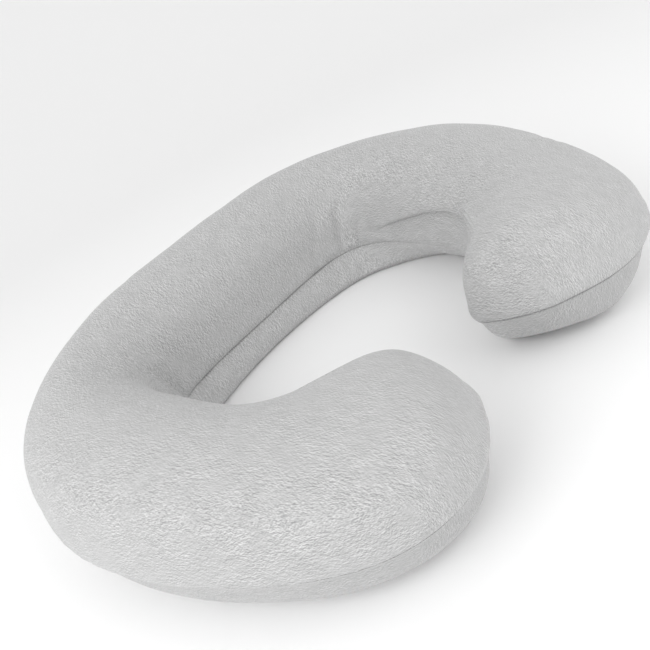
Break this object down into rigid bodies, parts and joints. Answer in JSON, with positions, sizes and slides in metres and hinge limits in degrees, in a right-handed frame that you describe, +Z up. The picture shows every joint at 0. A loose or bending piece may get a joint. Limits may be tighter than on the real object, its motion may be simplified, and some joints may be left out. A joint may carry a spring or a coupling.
{
  "type": "body pillow",
  "caption": "C-shaped filled body pillow in light grey melange jersey, with a plump round limb, curled-in rounded ends and one seam round its side.",
  "frame": {"origin": "middle of the pillow's outline, at the level of the underside it lies on", "axes": "+X along the back of the C, which is its length; +Y from the open mouth towards the back; +Z up from the underside to the crown"},
  "size_m": [1.3002, 1.0474, 0.3412],
  "materials": {
    "jersey_cloth": "matte melange jersey knit with short light and dark fibre streaks"
  },
  "bodies": {
    "root": {"body_pillow": "jersey_cloth"}
  },
  "joints": []
}
